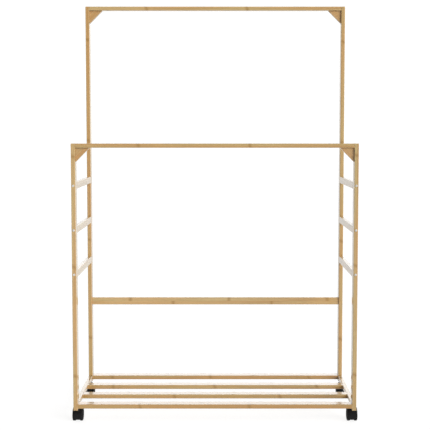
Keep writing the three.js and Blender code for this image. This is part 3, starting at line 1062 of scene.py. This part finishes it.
def make_casters():
    """Four casters, the back ones turned round. The CAD axles stay and get the steel."""
    steel = make_steel("caster_steel", **CASTER_STEEL)
    hood_plastic = make_plastic("hood_plastic", **HOOD_PLASTIC)
    wheel_plastic = make_plastic("wheel_plastic", **WHEEL_PLASTIC)
    hoods = {"front": finish_plastic(hood_mesh(), hood_plastic)}
    hoods["back"] = half_turn(hoods["front"].copy())
    wheels = {
        name: finish_plastic(wheel_mesh(side), wheel_plastic) for name, side in SIDES.items()
    }
    stem = stem_mesh()
    store_surface(stem)
    smooth(stem, TURNED_SHARP_DEGREES)
    stem.materials.append(steel)
    places = {joint["name"]: Vector(joint["pos_m"]) for joint in frame["joints"]}
    for end_name in ENDS:
        for side_name in SIDES:
            place = f"{end_name}_{side_name}"
            swivel = places[f"swivel_{place}"]
            axle = places[f"roll_{place}_left"]
            stand_in(
                f"caster_{place}_stem", stem, (swivel.x, swivel.y, 0),
                f"caster_stem_{place}", "rack_frame")
            stand_in(
                f"caster_{place}_hood", hoods[end_name], axle,
                f"caster_hood_{place}", f"caster_{place}")
            for wheel_name, wheel in wheels.items():
                stand_in(
                    f"caster_{place}_wheel_{wheel_name}", wheel, axle,
                    f"caster_wheel_{place}_{wheel_name}", f"wheel_{place}_{wheel_name}")
            pin = frame["nodes"][f"caster_axle_{place}"]
            store_surface(pin.data)
            pin.data.materials.clear()
            pin.data.materials.append(steel)


# --- Stage, light and camera -----------------------------------------------------------------

def make_floor():
    """A pale floor that looks evenly white to the camera, with only faint shadows on it. It
    glows less in reflections, and not at all for the light that it throws on the rack."""
    corners = [(x * FLOOR_HALF, y * FLOOR_HALF, 0) for x, y in ((-1, -1), (1, -1), (1, 1), (-1, 1))]
    floor = new_object("floor", mesh_from("floor", corners, [(0, 1, 2, 3)]))
    tree = material_tree("floor")
    mirrored = tree.read("ShaderNodeLightPath", "Is Glossy Ray")
    bounced = tree.read("ShaderNodeLightPath", "Is Diffuse Ray")
    glow = tree.math("MULTIPLY_ADD", mirrored, -FLOOR_MIRRORED_LOSS, FLOOR_GLOW)
    glow = tree.math("MULTIPLY_ADD", bounced, -FLOOR_GLOW, glow)
    tree.set(
        Base_Color=colour(FLOOR_GREY, FLOOR_GREY, FLOOR_GREY),
        Roughness=FLOOR_ROUGHNESS,
        Specular_IOR_Level=FLOOR_SPECULAR,
        Emission_Color=colour(1.0, 1.0, 1.0),
        Emission_Strength=glow)
    floor.data.materials.append(tree.owner)


def make_sky():
    """A soft studio: even light behind the rack, a bank of brighter light above its horizon, and
    dimmer overhead and on the camera's side. The camera itself sees plain white."""
    world = bpy.data.worlds.new("studio")
    bpy.context.scene.world = world
    tree = Tree(world, "Background")
    direction = tree.split(tree.read("ShaderNodeTexCoord", "Generated"))
    foot, top = (tree.span(direction["Z"], *edge) for edge in (SKY_BANK_FOOT, SKY_BANK_TOP))
    bank = tree.math("MULTIPLY", foot, top)
    bank = tree.math("MULTIPLY", bank, tree.span(direction["Y"], *SKY_BANK_BEHIND))
    light = tree.math("ADD", tree.span(direction["Y"], *SKY_BEHIND), bank)
    light = tree.math("ADD", light, tree.span(direction["X"], *SKY_SIDES))
    light = tree.math("MULTIPLY", light, tree.span(direction["Z"], *SKY_OVERHEAD))
    seen = tree.read("ShaderNodeLightPath", "Is Camera Ray")
    tree.set(Color=colour(1.0, 1.0, 1.0), Strength=tree.choose(seen, light, SKY_SEEN))


def make_key_light():
    """A far soft light from the right, in front and above. It leaves no glare in the lacquer."""
    light = bpy.data.lights.new("key_light", "SUN")
    light.energy = KEY_STRENGTH
    light.angle = math.radians(KEY_SPREAD_DEGREES)
    lamp = bpy.data.objects.new("key_light", light)
    lamp.rotation_mode = "QUATERNION"
    lamp.rotation_quaternion = KEY_TOWARDS.to_track_quat("-Z", "Y")
    lamp.visible_glossy = False
    bpy.context.scene.collection.objects.link(lamp)


def make_camera():
    """At about waist height, tilted a little down, with a small lens shift."""
    data = bpy.data.cameras.new("camera")
    data.lens = CAMERA_LENS
    data.sensor_width = CAMERA_SENSOR
    data.shift_x, data.shift_y = CAMERA_SHIFT
    camera = bpy.data.objects.new("camera", data)
    camera.location = CAMERA_PLACE
    camera.rotation_euler = (math.pi / 2 - math.radians(CAMERA_TILT_DEGREES), 0, 0)
    bpy.context.scene.collection.objects.link(camera)
    bpy.context.scene.camera = camera


make_wood()
make_bolts()
make_casters()
make_floor()
make_sky()
make_key_light()
make_camera()
bpy.context.scene.view_settings.view_transform = "Standard"
